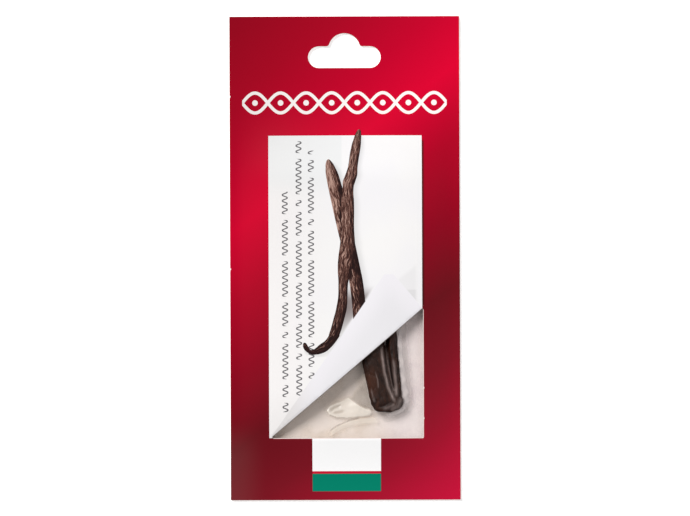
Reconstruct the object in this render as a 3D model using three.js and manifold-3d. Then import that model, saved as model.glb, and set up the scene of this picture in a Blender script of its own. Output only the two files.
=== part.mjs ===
// A hanging card pack of vanilla, lying on its back. Two leaves of board are glued together round their
// margins and swell over what lies between them: a clear film bag with one cured vanilla pod, folded
// double. A three-sided window in the front leaf shows the folded end of the pod, and a hang hole goes
// through both leaves at the top. Millimetres, +X to the pack's right, +Y to its top, +Z out of its
// front. The origin is the middle of the back.
import * as THREE from "three";
import { mergeVertices } from "three/addons/utils/BufferGeometryUtils.js";
import Module from "manifold-3d";

const wasm = await Module();
wasm.setup();

// The card: a leaf's thickness, and the room that glue and film take between the leaves at the margins.
const CARD_WIDTH = 90;
const CARD_HEIGHT = 189.3;
const BOARD = 0.45;
const SEAM = 0.3;

// The swell of the front leaf. It starts at the glue lines and is full over the pod.
const SWELL = 5.75;
const SWELL_SIDE = 42.5;
const SWELL_BOTTOM = { none: -89, full: -52 };
const SWELL_TOP = { none: 66, full: 30 };
const SWELL_CELLS = { across: 20, along: 36 };

// The window: a long slanting edge between the two ends of a square corner.
const WINDOW = { left: -29.1, right: 30.4, bottom: -70.25, top: -19.55, corner: 0.7 };

// The hang hole: a round-ended slot with a round top let into its middle.
const HOLE = { reach: 14.2, bottom: 74.45, top: 82.9, dome: 6.2, domeCentre: 81.8, fillet: 1.2 };

// The film bag: its outline and the thickness of its flat margin. Its nest is the raised part round the
// pod: a leaning band that passes x = 13.2 at y = -45, full out to its half width and gone past its
// slope.
const BAG = { left: -34, right: 34, bottom: -74, top: 52, margin: 0.35 };
const NEST = { height: 1.7, halfWidth: 8, slope: 6, from: -62, to: 26, x: 13.2, y: -45, lean: 0.11 };
const BAG_CELLS = { across: 17, along: 32 };

// The pod. Each strand is given by where its middle lies, and by its greatest half width and half
// thickness.
const POD_FLOOR = 1.45;
const WIDE_STRAND = {
  middle: [[16, -59], [14.9, -55.5], [11.7, -40], [8.3, -24], [5, -7], [3, 10], [2.6, 20], [4.6, 27.5]],
  halfWidth: 5,
  halfThickness: 2.1,
  tip: 0.3,
  ridges: 7,
};
const NARROW_STRAND = {
  middle: [[18.6, -58.5], [19.9, -53], [18.9, -44], [18.1, -36], [17, -20], [15.6, -4], [14.6, 9], [14.4, 17]],
  halfWidth: 2.3,
  halfThickness: 1.8,
  tip: 0.75,
  ridges: 5,
};
const FOLD = { x: 16.3, y: -56.3, halfWidth: 6.5, halfLength: 4, halfThickness: 2.05 };

// The skin's ridges, as a share of the strand's thickness, and how far they drift round it in waves. A
// strand tapers from this share of its length on, and its ends are cut this far from where they would
// round off to nothing.
const RIDGE = { depth: 0.05, drift: 1.4, waves: 5 };
const TAPER_FROM = 0.45;
const END_CUT = { fold: 1, tip: 0.8 };

// The gap that every piece keeps from its neighbour, and what the flat facets of a groove take off it.
const GAP = 0.3;
const GROOVE_SPARE = 0.1;

const smooth = (t) => {
  const s = THREE.MathUtils.clamp(t, 0, 1);
  return s * s * (3 - 2 * s);
};

// Evenly spaced grid lines.
const lines = (from, to, cells) =>
  Array.from({ length: cells + 1 }, (_, k) => from + ((to - from) * k) / cells);

// How far the front leaf stands off its flat margins: an arch across the pack, run out towards its
// ends.
function swell(x, y) {
  const across = Math.pow(Math.max(0, 1 - Math.pow(Math.abs(x) / SWELL_SIDE, 3)), 1.5);
  const below = smooth((y - SWELL_BOTTOM.none) / (SWELL_BOTTOM.full - SWELL_BOTTOM.none));
  const above = smooth((SWELL_TOP.none - y) / (SWELL_TOP.none - SWELL_TOP.full));
  return SWELL * across * below * above;
}

// A geometry from a flat list of coordinates and a list of triangles.
const surface = (points, faces) =>
  new THREE.BufferGeometry()
    .setAttribute("position", new THREE.Float32BufferAttribute(points, 3))
    .setIndex(faces);

// A closed geometry as a solid that can be cut and joined.
function solid(geometry) {
  const loose = geometry.index ? geometry.toNonIndexed() : geometry.clone();
  loose.deleteAttribute("normal");
  loose.deleteAttribute("uv");
  const merged = mergeVertices(loose, 1e-4);
  return new wasm.Manifold(
    new wasm.Mesh({
      numProp: 3,
      vertProperties: new Float32Array(merged.attributes.position.array),
      triVerts: new Uint32Array(merged.index.array),
    }),
  );
}

// A finished solid as a named mesh.
function meshOf(name, made, colour, roughness) {
  const out = made.getMesh();
  const geometry = surface(Array.from(out.vertProperties), Array.from(out.triVerts));
  geometry.computeVertexNormals();
  const mesh = new THREE.Mesh(
    geometry,
    new THREE.MeshStandardMaterial({ color: colour, roughness, metalness: 0 }),
  );
  mesh.name = name;
  return mesh;
}

// A solid between a flat base and a surface of height top(x, y) over the given grid lines. Its walls
// stand under the rim of the grid, and its base is a fan of triangles round the middle.
function relief(xs, ys, base, top) {
  const points = [];
  const faces = [];
  const at = (i, j) => j * xs.length + i;
  const right = xs.length - 1;
  const back = ys.length - 1;
  ys.forEach((y) => xs.forEach((x) => points.push(x, y, top(x, y))));
  for (let j = 0; j < back; j++)
    for (let i = 0; i < right; i++) {
      faces.push(at(i, j), at(i + 1, j), at(i + 1, j + 1));
      faces.push(at(i, j), at(i + 1, j + 1), at(i, j + 1));
    }
  const rim = [];
  for (let i = 0; i < right; i++) rim.push(at(i, 0));
  for (let j = 0; j < back; j++) rim.push(at(right, j));
  for (let i = right; i > 0; i--) rim.push(at(i, back));
  for (let j = back; j > 0; j--) rim.push(at(0, j));
  const lower = points.length / 3;
  rim.forEach((k) => points.push(points[3 * k], points[3 * k + 1], base));
  const centre = points.length / 3;
  points.push((xs[0] + xs[right]) / 2, (ys[0] + ys[back]) / 2, base);
  rim.forEach((k, n) => {
    const next = (n + 1) % rim.length;
    faces.push(k, lower + n, lower + next);
    faces.push(k, lower + next, rim[next]);
    faces.push(centre, lower + next, lower + n);
  });
  return solid(surface(points, faces));
}

// A flat outline as an upright prism from one height to another.
function prism(shape, from, to) {
  const geometry = new THREE.ExtrudeGeometry(shape, {
    depth: to - from,
    bevelEnabled: false,
    curveSegments: 10,
  });
  geometry.translate(0, 0, from);
  return solid(geometry);
}

function windowOutline() {
  const { left, right, bottom, top, corner } = WINDOW;
  const shape = new THREE.Shape();
  shape.moveTo(left, bottom);
  shape.lineTo(right - corner, bottom);
  shape.absarc(right - corner, bottom + corner, corner, -Math.PI / 2, 0, false);
  shape.lineTo(right, top);
  shape.closePath();
  return shape;
}

function holeOutline() {
  const { reach, bottom, top, dome, domeCentre, fillet } = HOLE;
  const end = (top - bottom) / 2;
  const straight = reach - end;
  const middle = bottom + end;
  const rise = top + fillet - domeCentre;
  const shoulder = Math.sqrt((dome + fillet) ** 2 - rise ** 2);
  const meet = Math.atan2(rise, shoulder);
  const quarter = Math.PI / 2;
  const shape = new THREE.Shape();
  shape.moveTo(-straight, bottom);
  shape.lineTo(straight, bottom);
  shape.absarc(straight, middle, end, -quarter, quarter, false);
  shape.lineTo(shoulder, top);
  shape.absarc(shoulder, top + fillet, fillet, -quarter, meet - Math.PI, true);
  shape.absarc(0, domeCentre, dome, meet, Math.PI - meet, false);
  shape.absarc(-shoulder, top + fillet, fillet, -meet, -quarter, true);
  shape.lineTo(-straight, top);
  shape.absarc(-straight, middle, end, quarter, 3 * quarter, false);
  shape.closePath();
  return shape;
}

// The card: the outer form, less the room between the leaves, the window in the front leaf and the hang
// hole.
function card() {
  const xs = lines(-SWELL_SIDE, SWELL_SIDE, SWELL_CELLS.across);
  const ys = lines(SWELL_BOTTOM.none, SWELL_TOP.none, SWELL_CELLS.along);
  const outerXs = [-CARD_WIDTH / 2, ...xs, CARD_WIDTH / 2];
  const outerYs = [-CARD_HEIGHT / 2, ...ys, CARD_HEIGHT / 2];
  const ceiling = (x, y) => BOARD + SEAM + swell(x, y);
  const outer = relief(outerXs, outerYs, 0, (x, y) => ceiling(x, y) + BOARD);
  const room = relief(xs, ys, BOARD, ceiling);
  const above = 2 * BOARD + SEAM + SWELL + 1;
  return outer
    .subtract(room)
    .subtract(prism(windowOutline(), BOARD + SEAM + GAP, above))
    .subtract(prism(holeOutline(), -1, above));
}

// One strand of the pod, from the fold up to its end: rings across a curve through its middle, rounded
// at both ends and tapered to the share called tip at the upper one. Lengthwise ridges run round each
// ring and drift as they go. With a grow above nothing it is the room that the strand takes up, which
// has no ridges.
function strand({ middle, halfWidth, halfThickness, tip, ridges }, sides, steps, grow) {
  const height = POD_FLOOR + halfThickness;
  const path = new THREE.CatmullRomCurve3(
    middle.map(([x, y]) => new THREE.Vector3(x, y, height)),
    false,
    "centripetal",
  );
  const length = path.getLength();
  const depth = grow > 0 ? 0 : RIDGE.depth;
  const rounding = (distance) => Math.sqrt(1 - (1 - Math.min(1, distance / halfWidth)) ** 2);
  const points = [];
  const faces = [];
  for (let k = 0; k <= steps; k++) {
    const t = k / steps;
    const along = path.getTangentAt(t);
    const centre = path.getPointAt(t).addScaledVector(along, k === 0 ? -grow : k === steps ? grow : 0);
    const round = rounding(t * length + END_CUT.fold) * rounding((1 - t) * length + END_CUT.tip);
    const taper = THREE.MathUtils.lerp(1, tip, smooth((t - TAPER_FROM) / (1 - TAPER_FROM)));
    for (let n = 0; n < sides; n++) {
      const angle = (2 * Math.PI * n) / sides;
      const wave = Math.cos(ridges * angle + RIDGE.drift * Math.sin(RIDGE.waves * t));
      const ridge = 1 - depth * (1 - wave);
      const across = (halfWidth * taper * ridge * round + grow) * Math.cos(angle);
      const up = (halfThickness * Math.sqrt(taper) * ridge * round + grow) * Math.sin(angle);
      points.push(centre.x - along.y * across, centre.y + along.x * across, centre.z + up);
    }
  }
  const ring = (k, n) => k * sides + (n % sides);
  for (let k = 0; k < steps; k++)
    for (let n = 0; n < sides; n++) {
      faces.push(ring(k, n), ring(k, n + 1), ring(k + 1, n + 1));
      faces.push(ring(k, n), ring(k + 1, n + 1), ring(k + 1, n));
    }
  const first = points.length / 3;
  for (const [t, outwards] of [[0, -grow], [1, grow]]) {
    const end = path.getPointAt(t).addScaledVector(path.getTangentAt(t), outwards);
    points.push(end.x, end.y, end.z);
  }
  for (let n = 0; n < sides; n++) {
    faces.push(first, ring(0, n + 1), ring(0, n));
    faces.push(first + 1, ring(steps, n), ring(steps, n + 1));
  }
  return solid(surface(points, faces));
}

// The folded end, where the skin bunches into one blunt knob.
function fold(grow) {
  const geometry = new THREE.SphereGeometry(1, 18, 10);
  geometry.scale(FOLD.halfWidth + grow, FOLD.halfLength + grow, FOLD.halfThickness + grow);
  geometry.translate(FOLD.x, FOLD.y, POD_FLOOR + FOLD.halfThickness);
  return solid(geometry);
}

// The whole pod, both strands and the fold as one piece.
const pod = (sides, steps, grow) =>
  strand(WIDE_STRAND, sides, steps, grow)
    .add(strand(NARROW_STRAND, sides - 4, steps, grow))
    .add(fold(grow));

// The bag, up to half the pod's height: a flat margin, rising to a nest that the pod lies in.
function filmBag() {
  const floor = BOARD + GAP;
  const xs = lines(BAG.left, BAG.right, BAG_CELLS.across);
  const ys = lines(BAG.bottom, BAG.top, BAG_CELLS.along);
  const top = (x, y) => {
    const sideways = Math.abs(x - NEST.x + NEST.lean * (y - NEST.y)) - NEST.halfWidth;
    const away = Math.max(0, sideways, NEST.from - y, y - NEST.to);
    return floor + BAG.margin + NEST.height * smooth(1 - away / NEST.slope);
  };
  return relief(xs, ys, floor, top).subtract(pod(18, 34, GAP + GROOVE_SPARE));
}

const group = new THREE.Group();
group.add(
  meshOf("card", card(), 0xa8102c, 0.35),
  meshOf("film_bag", filmBag(), 0xdcd3cd, 0.15),
  meshOf("vanilla_pod", pod(22, 34, 0), 0x38241c, 0.4),
);

export default group;
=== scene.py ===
import math

import bpy
import numpy as np
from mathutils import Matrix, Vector
from mathutils.geometry import delaunay_2d_cdt


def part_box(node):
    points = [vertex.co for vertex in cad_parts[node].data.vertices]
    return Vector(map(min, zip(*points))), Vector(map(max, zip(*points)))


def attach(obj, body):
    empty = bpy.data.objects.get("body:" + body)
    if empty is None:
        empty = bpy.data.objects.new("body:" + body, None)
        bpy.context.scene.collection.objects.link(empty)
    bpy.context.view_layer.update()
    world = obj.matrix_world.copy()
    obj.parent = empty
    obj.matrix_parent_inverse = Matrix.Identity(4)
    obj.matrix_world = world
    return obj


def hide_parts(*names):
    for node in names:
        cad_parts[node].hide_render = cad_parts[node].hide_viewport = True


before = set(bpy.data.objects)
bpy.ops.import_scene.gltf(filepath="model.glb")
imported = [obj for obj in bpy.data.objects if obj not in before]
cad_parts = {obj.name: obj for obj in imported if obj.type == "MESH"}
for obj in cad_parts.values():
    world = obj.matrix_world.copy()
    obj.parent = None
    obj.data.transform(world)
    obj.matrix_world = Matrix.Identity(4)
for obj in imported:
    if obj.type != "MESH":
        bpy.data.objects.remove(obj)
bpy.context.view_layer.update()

# The back leaf.
# One sheet of coated board, cut by a die that also cuts the hang hole in its head. It is printed red outside
# like the front, and bare inside, where it is the floor under the clear bag. Lengths are in millimetres.
MM = 0.001
_, card_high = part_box("card")
CARD_X = card_high.x / MM
CARD_Y = card_high.y / MM
BOARD = 0.45
CORNER_RADIUS = 0.4
HOLE_REACH, HOLE_BOTTOM, HOLE_TOP = 14.2, 74.45, 82.9
DOME_RADIUS, DOME_HEIGHT, SHOULDER_RADIUS = 6.2, 81.8, 1.2
RED_SLANT = 0.75
# The red's stops along the slant: its light and dark bands are partly print and partly painted reflections of
# the glossy board.
RED_AND_REFLECTION_RUN = (
    (-125, (157, 3, 30)),
    (-95, (174, 3, 35)),
    (-68, (196, 0, 42)),
    (-43, (219, 0, 48)),
    (-14, (177, 3, 37)),
    (14, (144, 4, 30)),
    (43, (107, 16, 26)),
    (70, (126, 20, 34)),
    (97, (160, 18, 43)),
    (125, (194, 17, 56)),
)
BACK_PANEL_X, BACK_PANEL_Y = (-32.0, 32.0), (-62.0, 48.0)
REPEATED, MERGED = 1e-6, 1e-5
CLEARANCE = 0.45


def arc(centre, radius, start, end, count=14):
    """Points at even angles, in degrees, round part of a circle."""
    angle = np.radians(np.linspace(start, end, count))
    return np.column_stack((centre[0] + radius * np.cos(angle), centre[1] + radius * np.sin(angle)))


def rounded(corners, radius, grow):
    """A convex outline, anticlockwise, with every corner turned on an arc. Each edge is moved out by grow,
    which moves a corner by grow times the sum of its two normals over one plus their product."""
    corners = np.array(corners, float)
    ahead = np.roll(corners, -1, axis=0) - corners
    ahead /= np.linalg.norm(ahead, axis=1)[:, None]
    behind = np.roll(ahead, 1, axis=0)
    points = []
    for corner, d0, d1 in zip(corners, behind, ahead):
        n0, n1 = np.array((d0[1], -d0[0])), np.array((d1[1], -d1[0]))
        moved = corner + (n0 + n1) * grow / (1.0 + n0 @ n1)
        turn = math.degrees(math.acos(np.clip(d0 @ d1, -1.0, 1.0)))
        bend = max(radius + grow, 0.01)
        centre = moved - d0 * bend * math.tan(math.radians(turn / 2)) - n0 * bend
        start = math.degrees(math.atan2(n0[1], n0[0]))
        points.append(arc(centre, bend, start, start + turn, 6))
    return np.concatenate(points)


def card_outline(grow=0.0):
    """The card's edge: a rectangle whose corners are just taken off."""
    corners = ((-CARD_X, -CARD_Y), (CARD_X, -CARD_Y), (CARD_X, CARD_Y), (-CARD_X, CARD_Y))
    return rounded(corners, CORNER_RADIUS, grow)


def hole_outline(grow=0.0):
    """The hang hole's edge: a slot with round ends, and a round top on small shoulders let into its upper
    side."""
    end = (HOLE_TOP - HOLE_BOTTOM) / 2
    straight = HOLE_REACH - end
    middle = HOLE_BOTTOM + end
    rise = HOLE_TOP + SHOULDER_RADIUS - DOME_HEIGHT
    shoulder = math.sqrt((DOME_RADIUS + SHOULDER_RADIUS) ** 2 - rise**2)
    meet = math.degrees(math.atan2(rise, shoulder))
    above = HOLE_TOP + SHOULDER_RADIUS
    arcs = (
        arc((straight, middle), end + grow, -90, 90),
        arc((shoulder, above), SHOULDER_RADIUS - grow, -90, meet - 180, 8),
        arc((0.0, DOME_HEIGHT), DOME_RADIUS + grow, meet, 180 - meet, 20),
        arc((-shoulder, above), SHOULDER_RADIUS - grow, -meet, -90, 8),
        arc((-straight, middle), end + grow, 90, 270),
    )
    return np.concatenate(arcs)


def dense(loop, step):
    """The same closed outline with a point at least every step, each edge cut into equal lengths. A point
    that repeats the one after it, where two arcs meet, is left out."""
    loop = loop[np.linalg.norm(np.roll(loop, -1, axis=0) - loop, axis=1) > REPEATED]
    after = np.roll(loop, -1, axis=0)
    counts = np.maximum(1, np.ceil(np.linalg.norm(after - loop, axis=1) / step)).astype(int)
    share = np.concatenate([np.arange(n) / n for n in counts])[:, None]
    return np.repeat(loop, counts, axis=0) * (1 - share) + np.repeat(after, counts, axis=0) * share


def inside(points, loop):
    """Which points lie in a closed outline: those whose level line to the right crosses it an odd number of
    times."""
    x, y = points[:, :1], points[:, 1:]
    ax, ay = loop.T
    bx, by = np.roll(loop, -1, axis=0).T
    crosses = (ay > y) != (by > y)
    rise = np.where(by == ay, 1.0, by - ay)
    return ((x < ax + (y - ay) * (bx - ax) / rise) & crosses).sum(axis=1) % 2 == 1


def in_region(points, loops):
    """Which points lie in the first outline and outside the others."""
    kept = inside(points, loops[0])
    for loop in loops[1:]:
        kept &= ~inside(points, loop)
    return kept


def new_object(name, data):
    """An object in the scene, at the origin."""
    made = bpy.data.objects.new(name, data)
    bpy.context.scene.collection.objects.link(made)
    return made


def new_piece(name, points, faces, materials, indices=None, sharp=35):
    """A mesh object from points in millimetres. Faces that meet at more than the sharp angle keep a crisp
    edge."""
    mesh = bpy.data.meshes.new(name)
    mesh.from_pydata((np.asarray(points) * MM).tolist(), [], faces)
    for material in materials:
        mesh.materials.append(material)
    if indices is not None:
        mesh.polygons.foreach_set("material_index", np.asarray(indices, np.int32))
    mesh.polygons.foreach_set("use_smooth", np.ones(len(mesh.polygons), bool))
    mesh.set_sharp_from_angle(angle=math.radians(sharp))
    mesh.validate()
    mesh.update()
    return new_object(name, mesh)


def flat_triangles(cuts, inner, spacing):
    """The flat region in the first cut and outside the others: its points, on the loops and evenly between
    them, the run of points on each loop, and its triangles, anticlockwise."""
    x = np.arange(-CARD_X, CARD_X, spacing) + spacing / 2
    y = np.arange(-CARD_Y, CARD_Y, spacing) + spacing / 2
    grid = np.stack(np.meshgrid(x, y), axis=-1).reshape(-1, 2)
    kept = in_region(grid, inner)
    for loop in inner:
        gaps = np.linalg.norm(grid[:, None, :] - loop[None, :, :], axis=2).min(axis=1)
        kept &= gaps > spacing * CLEARANCE
    loops = cuts + inner
    points = np.concatenate(loops + [grid[kept]])
    starts = np.cumsum([0] + [len(loop) for loop in loops])
    around = [np.arange(a, b) for a, b in zip(starts[:-1], starts[1:])]
    edges = np.concatenate([np.column_stack((ring, np.roll(ring, -1))) for ring in around])
    flat = list(map(Vector, points.tolist()))
    _, _, faces, sources, _, _ = delaunay_2d_cdt(flat, edges.tolist(), [], 0, MERGED)
    triangles = np.array([source[0] for source in sources])[np.array(faces)]
    triangles = triangles[in_region(points[triangles].mean(axis=1), cuts)]
    a, b, c = (points[triangles[:, n]] for n in range(3))
    area = (b[:, 0] - a[:, 0]) * (c[:, 1] - a[:, 1]) - (b[:, 1] - a[:, 1]) * (c[:, 0] - a[:, 0])
    triangles[area < 0] = triangles[area < 0][:, ::-1]
    return points, around, triangles


def board(name, outlines, eases, low, high, materials, spacing=1.5, drop=0.12):
    """A piece of board: the region in the first outline and outside the others, with its two faces lifted to
    low(x, y) and high(x, y) and a wall under every outline. Next to a cut, a strip of the outline's ease
    falls by the drop, as a die crushes it. The materials are the face's, the cut's and the underside's."""
    cuts, inner = [], []
    for number, (outline, ease) in enumerate(zip(outlines, eases)):
        cuts.append(dense(outline(), spacing))
        inner.append(dense(outline(ease if number else -ease), spacing))
    points, around, triangles = flat_triangles(cuts, inner, spacing)
    count = len(points)
    at_cut = np.arange(count) < around[len(cuts)][0]
    top = high(points[:, 0], points[:, 1]) - drop * at_cut
    bottom = low(points[:, 0], points[:, 1])
    solid = np.concatenate((np.column_stack((points, top)), np.column_stack((points, bottom))))
    crushed = at_cut[triangles].any(axis=1)
    walls = []
    for number, ring in enumerate(around[: len(cuts)]):
        after = np.roll(ring, -1)
        wall = np.column_stack((ring + count, after + count, after, ring))
        walls.append(wall[:, ::-1] if number else wall)
    walls = np.concatenate(walls)
    under = triangles[:, ::-1] + count
    indices = np.concatenate((crushed.astype(int), np.full(len(under), 2), np.ones(len(walls), int)))
    every = triangles.tolist() + under.tolist() + walls.tolist()
    return new_piece(name, solid, every, materials, indices)


def tint(red, green, blue):
    """A colour as the eye reads it, 0 to 255, made linear for the shader."""
    share = np.array((red, green, blue)) / 255.0
    linear = np.where(share <= 0.04045, share / 12.92, ((share + 0.055) / 1.055) ** 2.4)
    return (*linear.tolist(), 1.0)


class Shade:
    """An output of a material's node. Arithmetic on it adds Math nodes, and node() adds any other kind."""

    def __init__(self, socket):
        self.socket = socket

    def node(self, kind, settings=(), values=(), output=0):
        """A new node of that kind with its settings, then its sockets' values or links."""
        made = self.socket.id_data.nodes.new(kind)
        for name, value in dict(settings).items():
            setattr(made, name, value)
        for name, value in dict(values).items():
            if isinstance(value, Shade):
                made.id_data.links.new(value.socket, made.inputs[name])
            else:
                made.inputs[name].default_value = value
        return Shade(made.outputs[output])

    def maths(self, operation, *others):
        """This and the others through one Math node."""
        return self.node("ShaderNodeMath", {"operation": operation}, dict(enumerate((self, *others))))

    def __add__(self, other):
        return self.maths("ADD", other)

    __radd__ = __add__

    def __mul__(self, other):
        return self.maths("MULTIPLY", other)

    __rmul__ = __mul__

    def __sub__(self, other):
        return self.maths("SUBTRACT", other)

    def __rsub__(self, other):
        return self.node("ShaderNodeMath", {"operation": "SUBTRACT"}, {0: other, 1: self})

    def __truediv__(self, other):
        return self.maths("DIVIDE", other)

    def __abs__(self):
        return self.maths("ABSOLUTE")

    def over(self, other):
        """1 where this is over the other, else 0."""
        return self.maths("GREATER_THAN", other)

    def low(self, other):
        """The lower of the two."""
        return self.maths("MINIMUM", other)

    def high(self, other):
        """The higher of the two."""
        return self.maths("MAXIMUM", other)

    def ease(self, start, end):
        """0 at start and 1 at end, smoothly, also with start above end."""
        settings = {"interpolation_type": "SMOOTHSTEP"}
        values = {"Value": self, "From Min": start, "From Max": end}
        return self.node("ShaderNodeMapRange", settings, values)

    def curve(self, *pairs):
        """The height of a smooth curve through pairs of place and height, level beyond both ends."""
        places, heights = np.array(pairs, float).T
        start, span = places[0], places[-1] - places[0]
        low, rise = heights.min(), np.ptp(heights)
        points = [((place - start) / span, (height - low) / rise) for place, height in pairs]
        share = ((self - start) / span).low(1.0).high(0.0)
        made = share.node("ShaderNodeFloatCurve", (), {"Value": share})
        mapping = made.socket.node.mapping
        curve = mapping.curves[0].points
        curve[0].location, curve[1].location = points[0], points[-1]
        for point in points[1:-1]:
            curve.new(*point)
        mapping.update()
        return made * rise + low

    def ramp(self, *stops):
        """The colour at this place from 0 to 1 between stops, each a place and a colour from 0 to 255."""
        made = self.node("ShaderNodeValToRGB", (), {0: self})
        elements = made.socket.node.color_ramp.elements
        for number, (place, colour) in enumerate(stops):
            stop = elements[number] if number < len(elements) else elements.new(place)
            stop.position = place
            stop.color = tint(*colour)
        return made

    def noise(self, scale, detail=3.0, roughness=0.5):
        """Smooth noise from 0 to 1 over this point, with so many turns a millimetre."""
        values = {"Vector": self, "Scale": scale, "Detail": detail, "Roughness": roughness}
        return self.node("ShaderNodeTexNoise", (), values)

    def axis(self, number):
        """One of this point's three numbers."""
        return self.node("ShaderNodeSeparateXYZ", (), {0: self}, number)

    def stored(self, name, output=2):
        """What the mesh holds by that name at each of its points: a number, or for output 1 a vector."""
        return self.node("ShaderNodeAttribute", {"attribute_name": name}, (), output)


def mix(by, first, second):
    """The first colour where by is 0 and the second where it is 1."""
    source = next(c for c in (by, first, second) if isinstance(c, Shade))
    return source.node("ShaderNodeMix", {"data_type": "RGBA"}, {0: by, 6: first, 7: second}, output=2)


def new_material(name, **values):
    """A material, its shader with those values, and the point on the piece in millimetres."""
    made = bpy.data.materials.new(name)
    made.use_nodes = True
    shader = made.node_tree.nodes["Principled BSDF"]
    for socket, value in values.items():
        shader.inputs[socket.replace("_", " ")].default_value = value
    place = Shade(made.node_tree.nodes.new("ShaderNodeTexCoord").outputs["Object"])
    point = place.node("ShaderNodeVectorMath", {"operation": "SCALE"}, {0: place, "Scale": 1 / MM})
    return made, shader, point


def paint(shader, socket, value):
    """Feeds a socket of the shader from a Shade."""
    shader.id_data.links.new(value.socket, shader.inputs[socket])


def bump(height, distance, strength=1.0):
    """A normal that leans as a surface raised by this height, in millimetres, would."""
    values = {"Height": height, "Distance": distance * MM, "Strength": strength}
    return height.node("ShaderNodeBump", (), values)


def within(value, low, high):
    """1 between two limits, else 0."""
    return (value - low).low(high - value).over(0.0)


def red_print_and_reflection(x, y):
    """The red: it runs through its stops along a slanting line, which are places in millimetres and
    colours. Its light and dark bands are partly print and partly painted reflections of the glossy board."""
    start, end = RED_AND_REFLECTION_RUN[0][0], RED_AND_REFLECTION_RUN[-1][0]
    stops = [((place - start) / (end - start), colour) for place, colour in RED_AND_REFLECTION_RUN]
    return ((x * RED_SLANT - y - start) / (end - start)).ramp(*stops)


def cut_board(name, greyed_along=None):
    """Bare board at a cut edge, greyer where the mask given as the second argument is 1."""
    made, shader, point = new_material(name, Roughness=0.85, Specular_IOR_Level=0.2)
    fibres = point.noise(3.0, 5.0, 0.7)
    colour = mix(fibres, tint(226, 205, 200), tint(247, 234, 230))
    if greyed_along:
        # Greyer along the window's slanting side on the front leaf.
        colour = mix(greyed_along(point.axis(0), point.axis(1)), colour, tint(140, 131, 126))
    paint(shader, "Base Color", colour)
    paint(shader, "Normal", bump(fibres, 0.05))
    return made


def plain_board():
    """The board's unprinted face: pale fibres with a few grey specks."""
    made, shader, point = new_material("plain_board", Roughness=0.8, Specular_IOR_Level=0.2)
    fibres = point.noise(1.2, 5.0, 0.7)
    specks = point.noise(5.0, 2.0).ease(0.68, 0.75)
    paper = mix(fibres, tint(234, 224, 218), tint(247, 239, 235))
    paint(shader, "Base Color", mix(specks * 0.35, paper, tint(170, 158, 150)))
    paint(shader, "Normal", bump(fibres, 0.03))
    return made


def lacquered(name, printed):
    """Printed board under a soft gloss lacquer: printed(x, y, point) gives its colours."""
    made, shader, point = new_material(name, Roughness=0.4, Specular_IOR_Level=0.06)
    paint(shader, "Base Color", printed(point.axis(0), point.axis(1), point))
    paint(shader, "Normal", bump(point.noise(2.2, 4.0, 0.6), 0.012))
    return made


def back_print(x, y, _):
    """The red with a plain pale panel on it."""
    panel = within(x, *BACK_PANEL_X) * within(y, *BACK_PANEL_Y)
    return mix(panel, red_print_and_reflection(x, y), tint(246, 244, 244))


CUT, PLAIN = cut_board("cut_board"), plain_board()
back_leaf = board(
    "back_leaf",
    (card_outline, hole_outline),
    (0.1, 0.1),
    lambda x, y: np.zeros(x.shape),
    lambda x, y: np.full(x.shape, BOARD),
    (PLAIN, CUT, lacquered("printed_back", back_print)),
    drop=0.02,
)
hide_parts("card")
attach(back_leaf, "root")

# The strips between the leaves.
# Board of the same sort, glued round all four margins and across the whole head, where the hang hole goes
# through it. Only its cut edges show, as the middle line of the pack's sides.
SEAM = 0.3
SWELL_SIDE = 42.5
SWELL_BOTTOM = (-89.0, -52.0)
SWELL_TOP = (66.0, 30.0)
ROOM_RADIUS = 2.0
GLUE = 0.01
SET_BACK = 0.06


def room_outline(grow=0.0):
    """The inner edge of the glued margins."""
    x, low, high = SWELL_SIDE, SWELL_BOTTOM[0], SWELL_TOP[0]
    return rounded(((-x, low), (x, low), (x, high), (-x, high)), ROOM_RADIUS, grow)


def strips_outline(grow=0.0):
    """The card's edge, set back."""
    return card_outline(grow - SET_BACK)


def strips_hole(grow=0.0):
    """The hang hole's edge, set back."""
    return hole_outline(grow + SET_BACK)


margin_strips = board(
    "margin_strips",
    (strips_outline, room_outline, strips_hole),
    (0.05, 0.05, 0.05),
    lambda x, y: np.full(x.shape, BOARD + GLUE),
    lambda x, y: np.full(x.shape, BOARD + SEAM - GLUE),
    (PLAIN, CUT, PLAIN),
    spacing=3.0,
    drop=0.02,
)
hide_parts("card")
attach(margin_strips, "root")

# The vanilla pod.
# One cured pod, flat and leathery, folded double. The wide strand lies on its flat side and the narrow one
# beside it, and both run into one blunt knob at the fold. Long wrinkles follow the strands.
POD_FLOOR = 1.45
MELT_CELL = 0.22
GRAIN = 0.13
THIN = 0.3
WRINKLE_DEPTH, KNOB_DEPTH, UNEVEN_DEPTH = 0.5, 0.24, 0.1
WIDE = {
    "middle": ((16, -59), (14.7, -55.5), (11.5, -40), (8.2, -24), (5, -7), (3, 10), (2.6, 20), (4.6, 27.5)),
    "half_width": 5.0,
    "half_thickness": 2.1,
    "tip": 0.3,
}
NARROW = {
    "middle": (
        (18.6, -58.5), (19.6, -53), (18.9, -44), (18.3, -36), (17.3, -20), (15.6, -4), (14.6, 9), (14.4, 17),
    ),
    "half_width": 2.3,
    "half_thickness": 1.8,
    "tip": 0.75,
}
FOLD = {"middle": (16.3, -56.3), "half_width": 6.5, "half_length": 4.0, "half_thickness": 2.05}


def smooth(t):
    """0 below 0, 1 above 1, and three t squared less two t cubed between."""
    t = np.clip(t, 0.0, 1.0)
    return t * t * (3.0 - 2.0 * t)


def bell(away, reach):
    """1 at no distance, falling off as e to the minus square of the distance over the reach."""
    return np.exp(-((away / reach) ** 2))


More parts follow.
